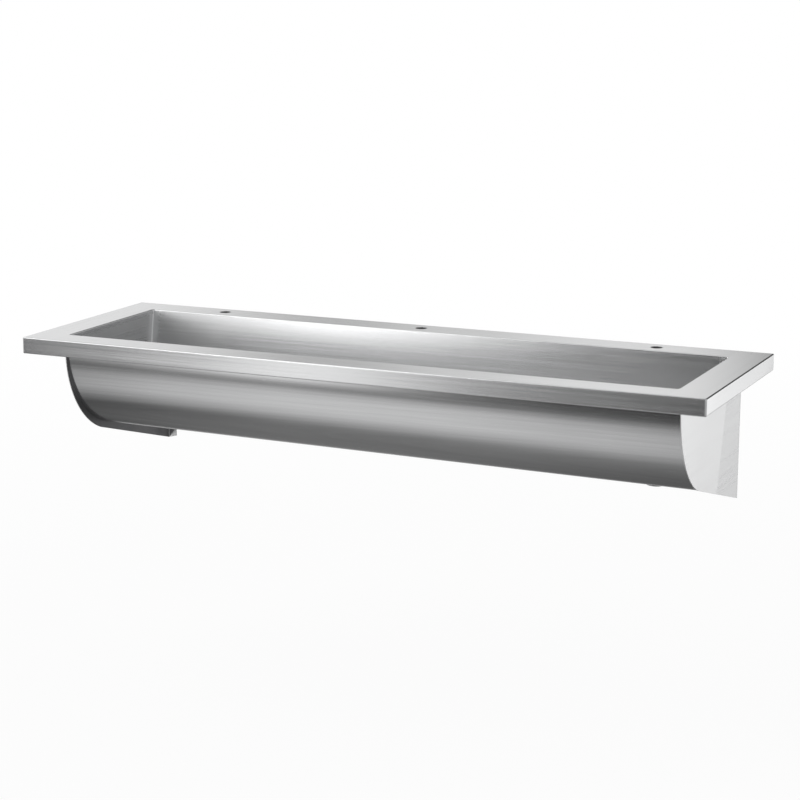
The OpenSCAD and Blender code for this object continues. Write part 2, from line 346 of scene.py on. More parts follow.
for x in TAP_X:
    bore(ledge, (x, OPEN_BACK / 2, 0), TAP_R, RIM / 2, sides=96)


def round_tap(m):
    return any((m - Vector((x, OPEN_BACK / 2, m.z))).length < TAP_R + TINY for x in TAP_X)


open_mesh(ledge)
choose("EDGE", lambda m, e: round_tap(m) and bend_line(e) and not upright(e))
round_off(BURR, 2)
close_mesh()
done(ledge)

# %% [markdown]
# ## The bowl's skin
#
# Front wall, floor and back wall are one sheet, rolled to a wide curve in front and bent more
# tightly at the back. It hangs from the ledge's lip, and its floor falls to the waste, so the
# whole section is tilted a little and trimmed level at the top. A strip of sheet is drawn as the
# front wall and its lower edge is spun round the bend's centre, run back as the floor, spun up
# again and run on as the leaning back wall.

# %% Skin: rolled section
FRONT_STEPS, BACK_STEPS = 60, 28
OVER = 0.02

skin = add_plate(
    "bowl_sheet", (2 * HALF, -FRONT_C[1]), (0, WALL_FRONT, FRONT_C[1] / 2), (pi / 2, 0, 0)
)
open_mesh(skin)
choose("EDGE", lambda m, e: near(m.z, FRONT_C[1]) and not upright(e))
bpy.ops.mesh.spin(steps=FRONT_STEPS, angle=-pi / 2, center=(0, *FRONT_C), axis=(1, 0, 0))
pull(0, BACK_C[0] - FRONT_C[0], 0)
bpy.ops.mesh.spin(steps=BACK_STEPS, angle=BACK_LEAN - pi / 2, center=(0, *BACK_C), axis=(1, 0, 0))
rise = OVER - BACK_C[1]
pull(0, rise * tan(BACK_LEAN), rise)

# %% Skin: tilted to the fall, trimmed square at the ends and level under the lip
bpy.ops.mesh.select_all(action="SELECT")
bpy.ops.transform.rotate(value=-FALL, orient_axis="Y", center_override=(0, 0, 0))
slice_off((0, 0, SHEET - LIP), (0, 0, 1))
slice_off((SKIN_X, 0, 0), (1, 0, 0))
slice_off((-SKIN_X, 0, 0), (-1, 0, 0))
choose("VERT", lambda m, v: near(m.z, SHEET - LIP) and m.y > BACK_C[0])
bpy.ops.transform.resize(value=(1, 0, 1), center_override=(0, WALL_BACK - LIP_LEAN, SHEET - LIP))
close_mesh()
face_out(skin, (0, WALL_FRONT, -LIP), (0, -1, 0))
thicken(skin, SHEET)
open_mesh(skin)
slice_off((0, 0, -LIP), (0, 0, 1), fill=True)
close_mesh()

# %% [markdown]
# ## The sump
#
# Near the right-hand end the floor is pressed into a shallow round sump that takes the waste, so
# the last water runs off. The tools that shape it here are turned parts: a short cylinder with its
# edges rounded is added below the floor, and a slightly smaller one is cut out of both, which
# leaves a pressed dish of the same sheet with a soft edge where the water runs in.

# %% Sump: round tools on the waste's own axis
WASTE = (0.678, -0.2297)
SUMP_R = 0.042
SUMP_DEEP = 0.006
HOLE_R = 0.025
WASTE_AXIS = Matrix.Rotation(FALL, 4, "Y") @ Matrix.Translation((*WASTE, 0))


def turned(name, outline, axis=WASTE_AXIS, steps=96):
    """Turns an outline of (radius, height) points round an axis, as on a lathe."""
    first = outline[0]
    piece = add_plate(name, (1, 1), (0, 0, 0))
    open_mesh(piece)
    choose("VERT", lambda m, v: m.x > 0 or m.y > 0)
    bpy.ops.mesh.delete(type="VERT")
    choose("VERT", lambda m, v: True)
    bpy.ops.transform.translate(value=(0.5 + first[0], 0.5, first[1]))
    for (r0, z0), (r1, z1) in zip(outline, outline[1:]):
        pull(r1 - r0, 0, z1 - z0)
    choose("EDGE", lambda m, e: True)
    bpy.ops.mesh.spin(steps=steps, angle=2 * pi, center=(0, 0, 0), axis=(0, 0, 1))
    close_up()
    close_mesh()
    piece.data.transform(axis)
    return piece


def arc(centre, radius, start, stop, steps):
    """Points of an arc in the plane of radius and height, for a turned outline."""
    angles = [radians(start + (stop - start) * i / steps) for i in range(steps + 1)]
    return [(centre[0] + radius * cos(a), centre[1] + radius * sin(a)) for a in angles]


# %% Sump: pressed into the floor, with its hole
PRESS_R = 0.0025
sump_low = FLOOR_Z - SUMP_DEEP
dish_low = sump_low + SHEET
inner_r = SUMP_R - SHEET
dish = turned(
    "dish",
    [(0, FLOOR_Z + SHEET / 2), (SUMP_R, FLOOR_Z + SHEET / 2)]
    + arc((SUMP_R - PRESS_R, sump_low + PRESS_R), PRESS_R, 0, -90, 6)
    + [(0, sump_low)],
)
recess = turned(
    "recess",
    [(0, FLOOR_Z + OVER / 2), (inner_r + PRESS_R, FLOOR_Z + OVER / 2)]
    + arc((inner_r + PRESS_R, FLOOR_Z + SHEET - PRESS_R), PRESS_R, 90, 180, 6)
    + arc((inner_r - PRESS_R / 2, dish_low + PRESS_R / 2), PRESS_R / 2, 0, -90, 4)
    + [(0, dish_low)],
)
above, below = FLOOR_Z + OVER / 2, FLOOR_Z - OVER
hole = turned("hole", [(0, above), (HOLE_R, above), (HOLE_R, below), (0, below)])
work(skin, dish, "UNION")
work(skin, recess, "DIFFERENCE")
work(skin, hole, "DIFFERENCE")
done(skin)

# %% [markdown]
# ## The bowl's end walls
#
# Each end of the bowl is a flat plate welded all round inside the skin. The weld is ground to a
# smooth hollow of about 5 mm radius, so that dirt has no corner to sit in. The plate is trimmed to
# the skin's section with straight cuts, each one a tangent of the curve, as one would nibble it
# from a sheet. The hollow is a row of small insets that step back along a quarter circle. One more
# inset, as wide as the grinder's band, marks off the part of the wall that it touched. The plate
# is first left taller than the bowl, so that its top cut takes away the hollow along the top.

# %% Trimming a plate to a curve
def nibble(centre, radius, start, stop, steps):
    """Trims an upright plate to an arc in Y and Z, in degrees, with tangent cuts."""
    for i in range(steps + 1):
        a = radians(start + (stop - start) * i / steps)
        place = (0, centre[0] + radius * cos(a), centre[1] + radius * sin(a))
        slice_off(place, (0, cos(a), sin(a)))


def upright_plate(name, x, facing):
    """A large plate across the trough at x that faces along +X or -X."""
    return add_plate(name, (1, 1), (x, -DEPTH / 2, -DEPTH / 2), (0, facing * pi / 2, 0))


# %% End walls with their ground welds
CLEARANCE = 0.0001
COVE_STEPS = 6
WELD_BAND = 0.030
MID_SIDE = (-DEPTH / 2, -DEPTH / 4)


def make_end_wall(name, side):
    wall = upright_plate(name, side * (OPEN_X - WELD_R), -side)
    drop = -side * OPEN_X * tan(FALL)
    inset = SHEET + CLEARANCE
    open_mesh(wall)
    nibble((FRONT_C[0], FRONT_C[1] + drop), FRONT_R - inset, 180, 270, FRONT_STEPS)
    nibble((BACK_C[0], BACK_C[1] + drop), BACK_R - inset, 270, 360 - degrees(BACK_LEAN), BACK_STEPS)
    slice_off((0, WALL_BACK - inset, 0), (0, 1, 0))
    slice_off((0, 0, 3 * WELD_BAND), (0, 0, 1))
    choose("FACE", lambda m, f: True)
    for i in range(COVE_STEPS):
        a, b = (pi / 2 * k / COVE_STEPS for k in (i, i + 1))
        in_by, back_by = WELD_R * (cos(a) - cos(b)), WELD_R * (sin(b) - sin(a))
        bpy.ops.mesh.inset(thickness=in_by, depth=-back_by, use_even_offset=True)
    bpy.ops.mesh.inset(thickness=WELD_BAND, use_even_offset=True)
    close_mesh()
    inner = max(wall.data.polygons, key=lambda face: face.area)
    toned_band = wall.data.attributes.new("ground_weld", "FLOAT", "POINT")
    for i, place in enumerate(toned_band.data):
        place.value = 0.0 if i in inner.vertices else 1.0
    open_mesh(wall)
    choose("EDGE", lambda m, e: e.is_boundary)
    pull(side * (WELD_R + SHEET), 0, 0)
    bpy.ops.mesh.edge_face_add()
    slice_off((0, 0, -LIP), (0, 0, 1), fill=True)
    close_mesh()
    face_out(wall, (side * (OPEN_X + SHEET), *MID_SIDE), (side, 0, 0))
    done(wall)
    return wall


SIDES = {"left": -1, "right": 1}
end_walls = {word: make_end_wall(f"end_wall_{word}", side) for word, side in SIDES.items()}

# %% [markdown]
# ## The end panels
#
# The panels are 2 mm plates, cut with a curved front that stands just proud of the bowl and a
# raked foot, and folded along the wall into a flange that takes two screws. They are trimmed like
# the end walls, then the flange is pulled in from the wall edge and the fold is rounded.

# %% End panels
PANEL = 0.002
panel_low, panel_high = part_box("end_panel_right")
PANEL_X = panel_high[0]
PANEL_FRONT = panel_low[1]
PANEL_FOOT = panel_low[2]
PANEL_STRAIGHT = 0.038
PANEL_R = 0.254
PANEL_C = (PANEL_FRONT + PANEL_R, -PANEL_STRAIGHT)
PANEL_CURVE = 0.164
CORNER_Y = PANEL_FRONT + PANEL_CURVE
NOTCH = (-0.018, -0.044)
FLANGE = 0.026
SCREW_R = 0.0045
SCREW_X = 0.806
SCREWS_Z = (-0.090, -0.330)
FOLD_R = 0.004
FOOT_SLOPE = 0.25
PANEL_STEPS = 30


def make_panel(name, side):
    panel = upright_plate(name, side * PANEL_X, side)
    open_mesh(panel)
    corner_z = PANEL_C[1] - (PANEL_R**2 - (CORNER_Y - PANEL_C[0]) ** 2) ** 0.5
    corner_angle = 180 + degrees(atan((corner_z - PANEL_C[1]) / (CORNER_Y - PANEL_C[0])))
    nibble(PANEL_C, PANEL_R, 180, corner_angle, PANEL_STEPS)
    rake = (corner_z - PANEL_FOOT) / -CORNER_Y
    slice_off((0, 0, PANEL_FOOT), (0, -rake, -1))
    slice_off((0, 0, -SHEET), (0, 0, 1))
    slice_off((0, 0, 0), (0, 1, 0))
    slice_off((0, NOTCH[0], 0), (0, 1, 0), both=True)
    slice_off((0, 0, NOTCH[1]), (0, 0, 1), both=True)
    choose("FACE", lambda m, f: m.y > NOTCH[0] and m.z > NOTCH[1])
    bpy.ops.mesh.delete(type="FACE")
    choose("EDGE", lambda m, e: e.is_boundary and near(m.y, 0))
    pull(-side * FLANGE, 0, 0)
    choose("FACE", lambda m, f: near(m.y, 0))
    bpy.ops.mesh.bisect(
        plane_co=(side * PANEL_X, 0, PANEL_FOOT), plane_no=(-side * FOOT_SLOPE, 0, -1), clear_outer=True
    )
    choose("EDGE", lambda m, e: near(m.y, 0) and bend_line(e))
    round_off(FOLD_R, CORNER_STEPS)
    close_mesh()
    face_out(panel, (side * PANEL_X, *MID_SIDE), (side, 0, 0))
    thicken(panel, PANEL)
    for z in SCREWS_Z:
        bore(panel, (side * SCREW_X, 0, z), SCREW_R, FLANGE, (pi / 2, 0, 0), sides=48)
    done(panel)
    return panel


panels = {word: make_panel(f"panel_{word}", side) for word, side in SIDES.items()}

# %% [markdown]
# ## Stiffeners
#
# The ledge is thin, so steel is folded in under it: an angle along the wall, a channel along the
# front, and a plate round each tap hole, so that a tap can be tightened without a dent. The angle
# and the channel are made like the ledge, as flat sheet with pulled-down edges and rounded folds,
# and the plates are flat blocks with round corners.

# %% Angle and channel
def fold_under(name, node, legs):
    """Folds a strip that fills a CAD node's box, with legs down along the given sides of it."""
    low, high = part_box(node)
    size = [high[i] - low[i] for i in range(3)]
    strip = add_plate(name, size[:2], ((low[0] + high[0]) / 2, (low[1] + high[1]) / 2, high[2]))
    open_mesh(strip)
    for y in legs(low, high):
        choose("EDGE", lambda m, e: near(m.y, y) and near(m.z, high[2]))
        pull(0, 0, -size[2])
    choose("EDGE", lambda m, e: near(m.z, high[2]) and bend_line(e))
    round_off(BEND_R, BEND_STEPS)
    close_mesh()
    face_out(strip, (0, (low[1] + high[1]) / 2, high[2]), (0, 0, 1))
    thicken(strip, SHEET)
    done(strip)
    return strip


wall_angle = fold_under("wall_angle", "rear_angle", lambda low, high: [high[1]])
edge_channel = fold_under("edge_channel", "front_channel", lambda low, high: [low[1], high[1]])


# %% Slabs, for the tap plates, the pads and the lug
def slab(name, low, high, corner_r, edge_r, axis=Matrix.Identity(4), round_corner=lambda m: True):
    """A flat block with round corners and softened edges, drawn lying down and then set in place."""
    size = [high[i] - low[i] for i in range(3)]
    block = add_plate(name, size[:2], ((low[0] + high[0]) / 2, (low[1] + high[1]) / 2, low[2]))
    open_mesh(block)
    choose("VERT", lambda m, v: round_corner(m))
    bpy.ops.mesh.bevel(offset=corner_r, offset_type="OFFSET", segments=6, affect="VERTICES")
    choose("FACE", lambda m, f: True)
    pull(0, 0, size[2])
    close_up()
    choose("EDGE", lambda m, e: (near(m.z, low[2]) or near(m.z, high[2])) and bend_line(e))
    round_off(edge_r, 2)
    close_mesh()
    block.data.transform(axis)
    return block


# %% Tap plates
tap_plates = {}
for word, x in zip(("left", "middle", "right"), TAP_X):
    low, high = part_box(f"tap_plate_{word}")
    plate = slab(f"stiffener_{word}", low, high, corner_r=0.005, edge_r=0.0003)
    bore(plate, (x, OPEN_BACK / 2, high[2]), TAP_R, RIM)
    done(plate)
    tap_plates[word] = plate

# %% [markdown]
# ## Damping pads
#
# Two rubber pads are glued under the floor. Water that falls on bare thin sheet drums, and a pad
# takes the ring out of it. They slope with the floor, so they are drawn flat and then tilted.

# %% Damping pads
TILT = Matrix.Rotation(FALL, 4, "Y")
PAD_T = 0.003
PAD_L = 0.560
PAD_X = {"left": -0.370, "right": 0.290}
PAD_MARGIN = 0.005
pads = {}
for word, x in PAD_X.items():
    low = (x - PAD_L / 2, FRONT_C[0] + PAD_MARGIN, FLOOR_Z - PAD_T)
    high = (x + PAD_L / 2, BACK_C[0] - PAD_MARGIN, FLOOR_Z)
    pad = slab(f"pad_{word}", low, high, corner_r=0.010, edge_r=0.0008, axis=TILT)
    done(pad)
    pads[word] = pad

# %% [markdown]
# ## The waste
#
# A waste is a turned part: a flange that lies in the sump on a seal, a threaded outlet through the
# hole, and a nut that pulls it tight against a second seal below. Each ring is one outline of
# radius and height, spun once round the waste's own axis, so edges and seats come out round.

# %% Waste heights, measured square to the sloping floor
TOP_SEAL, UNDER_SEAL = 0.0015, 0.0025
FLANGE_R, FLANGE_T = 0.040, 0.0025
flange_low = dish_low + TOP_SEAL
flange_top = flange_low + FLANGE_T
STRAINER_R, STRAINER_T, STRAINER_GAP = 0.032, 0.0015, 0.0004
seat = flange_top - STRAINER_T
under_low = sump_low - UNDER_SEAL
NUT_AF, NUT_T = 0.060, 0.005
nut_low = under_low - NUT_T
OUTLET_R, BORE_R = 0.0239, 0.0202
OUTLET_PAST_NUT = 0.0035
outlet_low = nut_low - OUTLET_PAST_NUT
print("waste from", round(outlet_low, 4), "to", round(flange_top, 4))


# %% Thread
FLANK, CREST = 0.35, 0.15


def thread(radius, depth, pitch, low, high):
    """The outline of a thread, going up: each turn has a flank, then a narrow crest."""
    turns = int((high - low) / pitch)
    points = []
    for i in range(turns):
        z = low + i * pitch
        points += [(radius - depth, z), (radius, z + pitch * FLANK), (radius, z + pitch * (FLANK + CREST))]
    return points


# %% Flange with its seat, bore and thread
SOFT = 0.0006
seat_r = STRAINER_R + STRAINER_GAP
outline = (
    [(BORE_R, outlet_low + SOFT), (BORE_R + SOFT, outlet_low), (OUTLET_R - 2 * SOFT, outlet_low)]
    + thread(OUTLET_R, depth=0.0007, pitch=0.0015, low=outlet_low + SOFT, high=sump_low)
    + [(OUTLET_R, sump_low), (OUTLET_R, flange_low), (FLANGE_R - SOFT, flange_low)]
    + arc((FLANGE_R - SOFT, flange_low + SOFT), SOFT, -90, 0, 3)
    + arc((FLANGE_R - 2 * SOFT, flange_top - 2 * SOFT), 2 * SOFT, 0, 90, 5)
    + arc((seat_r + SOFT / 2, flange_top - SOFT / 2), SOFT / 2, 90, 180, 3)
    + [(seat_r, seat), (BORE_R + SOFT, seat)]
    + arc((BORE_R + SOFT, seat - SOFT), SOFT, 90, 180, 4)
    + [(BORE_R, outlet_low + SOFT)]
)
outlet = turned("outlet_flange", outline)
done(outlet, 30)


# %% Seals
def seal(name, inner, outer, low, high):
    """A flat rubber ring with a slightly swollen edge, as when it is clamped."""
    half = (high - low) / 2
    outline = (
        [(inner + half / 2, low), (outer - half, low)]
        + arc((outer - half, low + half), half, -90, 90, 6)
        + [(inner + half / 2, high)]
        + arc((inner + half / 2, low + half), half, 90, 270, 6)[1:]
    )
    ring = turned(name, outline)
    done(ring)
    return ring


top_seal = seal("seal_top", HOLE_R + SOFT, FLANGE_R, dish_low, flange_low)
under_seal = seal("seal_under", HOLE_R + SOFT, NUT_AF / 2, under_low, sump_low)


# %% Nuts and bolt heads
CHAMFER_R = 0.97
BAR_LONGER = 1.5
HEX_ANGLE = 25
THREAD_GAP = 0.0003


def hexagon(name, across_flats, low, high, axis=WASTE_AXIS, hole_r=0.0):
    """A hexagon whose corners are turned off at both ends, bored if it has a hole.

    The bar that it is turned from is longer, because two flat ends that lie on each other can
    make a boolean lose faces.
    """
    corner_r = across_flats / 2 / cos(pi / 6)
    bpy.ops.object.select_all(action="DESELECT")
    bpy.ops.mesh.primitive_cylinder_add(
        vertices=6, radius=corner_r, depth=BAR_LONGER * (high - low), location=(0, 0, (low + high) / 2),
        rotation=(0, 0, pi / 6),
    )
    piece = bpy.context.object
    piece.name = piece.data.name = name
    bpy.ops.object.transform_apply(location=True, rotation=True, scale=True)
    piece.data.transform(axis)
    off = corner_r - across_flats / 2
    face_r = across_flats / 2 * CHAMFER_R
    crown = [(0, low), (face_r, low), (corner_r, low + off / 2), (corner_r, high - off / 2), (face_r, high),
             (0, high)]
    work(piece, turned("crown", crown, axis), "INTERSECT")
    open_mesh(piece)
    close_up()
    close_mesh()
    if hole_r:
        reach = high - low
        soft = reach / 12
        wide_r = hole_r + soft
        drill = [(0, low - reach), (wide_r, low - reach), (wide_r, low - HAIR), (hole_r, low + soft),
                 (hole_r, high - soft), (wide_r, high + HAIR), (wide_r, high + reach), (0, high + reach)]
        work(piece, turned("drill", drill, axis), "DIFFERENCE")
    smooth(piece, HEX_ANGLE)
    return piece


back_nut = hexagon("back_nut", NUT_AF, nut_low, under_low, hole_r=OUTLET_R + THREAD_GAP)
keep(back_nut)

# %% [markdown]
# ## The strainer
#
# A perforated plate with a knob lies loose in the flange's seat, and lifts straight out. It rides
# on its own body. The punches are joined into one tool first, so that a single cut makes all the
# holes. The knob is turned with a waist, so that wet fingers get hold of it.

# %% Strainer plate
grid = turned(
    "strainer_grid",
    [(0, seat), (STRAINER_R - SOFT / 2, seat)]
    + arc((STRAINER_R - SOFT / 2, seat + SOFT / 2), SOFT / 2, -90, 0, 2)
    + arc((STRAINER_R - SOFT, flange_top - SOFT), SOFT, 0, 90, 4)
    + [(0, flange_top)],
)

# %% Strainer plate: two rings of punched holes
PUNCH_R, PUNCH_L = 0.0025, 0.01
PUNCH_RINGS = ((0.009, 6), (0.016, 12))
punches = []
bpy.ops.object.select_all(action="DESELECT")
for ring_r, count in PUNCH_RINGS:
    for i in range(count):
        a = 2 * pi * i / count
        place = (ring_r * cos(a), ring_r * sin(a), seat)
        bpy.ops.mesh.primitive_cylinder_add(vertices=32, radius=PUNCH_R, depth=PUNCH_L, location=place)
        punches.append(bpy.context.object)
for punch in punches:
    punch.select_set(True)
bpy.ops.object.join()
punch = bpy.context.object
bpy.ops.object.transform_apply(location=True, rotation=True, scale=True)
punch.data.transform(WASTE_AXIS)
work(grid, punch, "DIFFERENCE")
done(grid, 30)

# %% Strainer knob
KNOB_H, KNOB_R = 0.010, 0.006
KNOB_FOOT_R, KNOB_WAIST_R, KNOB_EDGE_R = 0.004, 0.0035, 0.001
KNOB_WAIST_OUT, KNOB_CROWN = 0.0062, 0.0003
knob_top = flange_top + KNOB_H
knob = turned(
    "strainer_grip",
    [(0, flange_top), (KNOB_FOOT_R, flange_top)]
    + arc((KNOB_WAIST_OUT, flange_top + KNOB_WAIST_R), KNOB_WAIST_R, 220, 150, 6)
    + arc((KNOB_R - KNOB_EDGE_R, knob_top - 2 * KNOB_EDGE_R), KNOB_EDGE_R, -60, 60, 6)
    + [(KNOB_R / 2, knob_top - KNOB_CROWN), (0, knob_top)],
    steps=64,
)
done(knob)

# %% [markdown]
# ## The earthing point
#
# Metal sinks are bonded to earth. A lug hangs under the ledge near the right-hand end, with a
# brass bolt, two washers and a nut that clamp the bonding wire's tag. They are small, so each is a
# turned outline or a hexagon, and the screw thread is a row of turned ridges.

# %% Lug
UPRIGHT = Matrix.Rotation(pi / 2, 4, "Y")
LUG_HOLE_UP, LUG_HOLE_R = 0.011, 0.0031
lug_low, lug_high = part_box("earth_lug")
lug_y = (lug_low[1] + lug_high[1]) / 2
bolt_z = lug_low[2] + LUG_HOLE_UP
lug = slab(
    "bonding_lug", (-lug_high[2], lug_low[1], lug_low[0]), (-lug_low[2], lug_high[1], lug_high[0]),
    corner_r=0.008, edge_r=0.0004, axis=UPRIGHT, round_corner=lambda m: m.x > -lug_high[2] + TINY,
)
bore(lug, (lug_high[0], lug_y, bolt_z), LUG_HOLE_R, OVER, (0, pi / 2, 0))
done(lug)

# %% Bolt, nut and washers
BOLT_AXIS = Matrix.Translation((lug_low[0], lug_y, bolt_z)) @ UPRIGHT
BOLT_R, BOLT_GAP, HEX_AF, LUG_T = 0.003, 0.0001, 0.010, 0.003
WASHER_T, WASHER_R, HEAD_H, NUT_H, BOLT_L = 0.0016, 0.006, 0.004, 0.005, 0.018
BOLT_PITCH, BOLT_TIP = 0.001, 0.0008
head_low, bolt_end, nut_face = -WASHER_T - HEAD_H, BOLT_L - WASHER_T, LUG_T + WASHER_T
bolt = hexagon("bonding_bolt", HEX_AF, head_low, -WASHER_T, BOLT_AXIS)
shank = turned(
    "shank",
    [(0, head_low + HEAD_H / 2), (BOLT_R, head_low + HEAD_H / 2), (BOLT_R, LUG_T)]
    + thread(BOLT_R, depth=0.0004, pitch=BOLT_PITCH, low=LUG_T, high=bolt_end - BOLT_PITCH)
    + [(BOLT_R - BOLT_TIP, bolt_end), (0, bolt_end)],
    BOLT_AXIS, 48,
)
work(bolt, shank, "UNION")
done(bolt, HEX_ANGLE)
bolt_nut = hexagon("bonding_nut", HEX_AF, nut_face, nut_face + NUT_H, BOLT_AXIS, BOLT_R + BOLT_GAP)
keep(bolt_nut)


# %% Washers
def washer(name, low):
    soft = WASHER_T / 6
    high = low + WASHER_T
    inner = BOLT_R + BOLT_GAP
    ring = turned(
        name,
        [(inner, low), (WASHER_R - soft, low), (WASHER_R, low + soft), (WASHER_R, high - soft),
         (WASHER_R - soft, high), (inner + soft, high), (inner, high - soft), (inner, low)],
        BOLT_AXIS, 64,
    )
    done(ring, 30)
    return ring


washers = [washer("bonding_washer_head", -WASHER_T), washer("bonding_washer_nut", LUG_T)]

# %% [markdown]
# ## Grain
#
# Stainless sheet is brushed along its length with an abrasive belt, so its reflections smear
# across the grain and stay sharper along it. Every piece gets a UV map that is laid like the
# sheet: U runs along the grain and V across it, both in metres, so one grain group fits all. The
# belt runs along the trough on most faces, and from front to back on the end walls, the panels
# and the two short ledges, where a real one would too.

# %% Laying the grain
FACES_ALONG = 0.7


def lay_grain(piece):
    """Writes a UV map in metres with U along the grain: along X, or along Y at the trough's two ends."""
    sheet = piece.data
    for old in list(sheet.uv_layers):
        sheet.uv_layers.remove(old)
    layer = sheet.uv_layers.new(name="grain")
    for face in sheet.polygons:
        n = face.normal
        on_side = abs(n.x) > FACES_ALONG
        is_ledge = abs(n.z) > FACES_ALONG and face.center.z > -RIM - TINY
        side_ledge = is_ledge and abs(face.center.x) > OPEN_X
        for corner in face.loop_indices:
            x, y, z = sheet.vertices[sheet.loops[corner].vertex_index].co
            if on_side:
                uv = (y, z)
            elif side_ledge:
                uv = (y, x)
            else:
                uv = (x, y + z)
            layer.data[corner].uv = uv


# %% Node helpers
def new_group(name, inputs, outputs):
    """A shader node group with named sockets, and its input and output nodes."""
    group = bpy.data.node_groups.new(name, "ShaderNodeTree")
    for label, kind, value in inputs:
        socket = group.interface.new_socket(label, in_out="INPUT", socket_type="NodeSocket" + kind)
        if value is not None:
            socket.default_value = value
    for label, kind in outputs:
        group.interface.new_socket(label, in_out="OUTPUT", socket_type="NodeSocket" + kind)
    return group, group.nodes.new("NodeGroupInput"), group.nodes.new("NodeGroupOutput")


def put(tree, kind, **sockets):
    """Adds a node. A small letter names a setting of it and a capital a socket, and _0 is socket 0.

    A value sets the socket, and a socket of another node is linked to it.
    """
    node = tree.nodes.new("ShaderNode" + kind)
    settings = {k: v for k, v in sockets.items() if hasattr(node, k) and not k[0].isupper()}
    for key, value in settings.items():
        setattr(node, key, value)
    for key, value in sockets.items():
        if key in settings:
            continue
        key = int(key[1:]) if key[1:].isdigit() else key.replace("_", " ")
        if isinstance(value, bpy.types.NodeSocket):
            tree.links.new(value, node.inputs[key])
        else:
            node.inputs[key].default_value = value
    return node


def use(tree, group, **sockets):
    """Places a group in a material."""
    return put(tree, "Group", node_tree=group, **sockets)


def reckon(tree, operation, a, b=0.0):
    """One step of arithmetic on a value."""
    return put(tree, "Math", operation=operation, _0=a, _1=b).outputs[0]


# %% [markdown]
# ## Effects that several finishes share
#
# A brush, a lathe and a hand leave marks on more than one metal, so each kind of mark is a node
# group with its scale as an input. Brush marks are noise drawn out along U, once as fine lines and
# once as broader streaks. Lathe marks are noise over the distance from the axis. Handling is broad
# soft noise. A group gives out only values, and each material mixes them in its own way.

# %% Group: brushed grain
GRAIN_LAYERS = (("Lines", 1.0, 2.0), ("Streaks", 0.2, 1.0))


def make_grain_group():
    group, given, out = new_group(
        "brushed_grain",
        [("Position", "Vector", None), ("Length", "Float", 3.5), ("Fineness", "Float", 900.0)],
        [("Lines", "Float"), ("Streaks", "Float")],
    )
    apart = put(group, "SeparateXYZ", Vector=given.outputs["Position"])
    for label, finer, detail in GRAIN_LAYERS:
        along = reckon(group, "MULTIPLY", apart.outputs[0], given.outputs["Length"])
        along = reckon(group, "MULTIPLY", along, finer**0.5)
        across = reckon(group, "MULTIPLY", apart.outputs[1], given.outputs["Fineness"])
        across = reckon(group, "MULTIPLY", across, finer)
        place = put(group, "CombineXYZ", X=along, Y=across, Z=finer)
        noise = put(group, "TexNoise", Vector=place.outputs[0], Scale=1.0, Detail=detail, Roughness=0.6)
        group.links.new(noise.outputs[0], out.inputs[label])
    return group


# %% Group: turned rings
def make_ring_group():
    group, given, out = new_group(
        "turned_rings", [("Position", "Vector", None), ("Fineness", "Float", 2500.0)], [("Rings", "Float")]
    )
    flat = put(group, "VectorMath", operation="MULTIPLY", _0=given.outputs["Position"], _1=(1, 1, 0))
    radius = put(group, "VectorMath", operation="LENGTH", _0=flat.outputs[0])
    fine = reckon(group, "MULTIPLY", radius.outputs["Value"], given.outputs["Fineness"])
    noise = put(group, "TexNoise", noise_dimensions="1D", W=fine, Scale=1.0, Detail=3.0, Roughness=0.6)
    group.links.new(noise.outputs[0], out.inputs["Rings"])
    return group


# %% Group: handled patches
def make_patch_group():
    group, given, out = new_group(
        "handled_patches", [("Position", "Vector", None), ("Size", "Float", 4.0)], [("Patch", "Float")]
    )
    broad = put(group, "TexNoise", Vector=given.outputs["Position"], Scale=given.outputs["Size"], Detail=4.0)
    soft = put(group, "MapRange", Value=broad.outputs[0], From_Min=0.3, From_Max=0.7)
    group.links.new(soft.outputs[0], out.inputs["Patch"])
    return group


GRAIN, RINGS, PATCHES = make_grain_group(), make_ring_group(), make_patch_group()
print("groups", [group.name for group in bpy.data.node_groups])


# %% Starting a material and mixing its tones
def new_material(name):
    """An empty material, its node tree and the coordinates that its patterns follow."""
    material = bpy.data.materials.new(name)
    material.use_nodes = True
    tree = material.node_tree
    tree.nodes.clear()
    return material, tree, put(tree, "TexCoord")


def between(tree, share, dark, light):
    """A colour between two, by a share from 0 to 1."""
    return put(tree, "Mix", data_type="RGBA", _0=share, _6=(*dark, 1), _7=(*light, 1)).outputs[2]


def spread_over(tree, share, low, high):
    """A value between low and high, by a share that mostly lies between 0.2 and 0.8."""
    return put(tree, "MapRange", Value=share, From_Min=0.2, From_Max=0.8, To_Min=low, To_Max=high).outputs[0]


def blend(tree, share, a, b):
    """A value between a and b, by a share from 0 to 1."""
    return put(tree, "Mix", _0=share, _2=a, _3=b).outputs[0]


# %% [markdown]
# ## Brushed steel
#
# Satin stainless is a plain metal whose whole character is in its surface: hair-fine lines along
# the grain, broader streaks where the belt ran, and soft patches left by handling. They change
# the colour, the roughness and the height only a little. Where a weld was ground flush, the steel
# is a little brighter and rougher. The shader's own anisotropy does the smearing: it needs a
# tangent, which comes from the grain's UV map, and a quarter turn, because the shader smears along
# its tangent and a brushed sheet smears across its grain.

# %% Brushed steel
LIGHT, DARK, BRIGHT = (0.69, 0.693, 0.697), (0.55, 0.553, 0.557), (0.74, 0.745, 0.75)
QUARTER_TURN = 0.25
GROUND_ROUGHER = 0.06


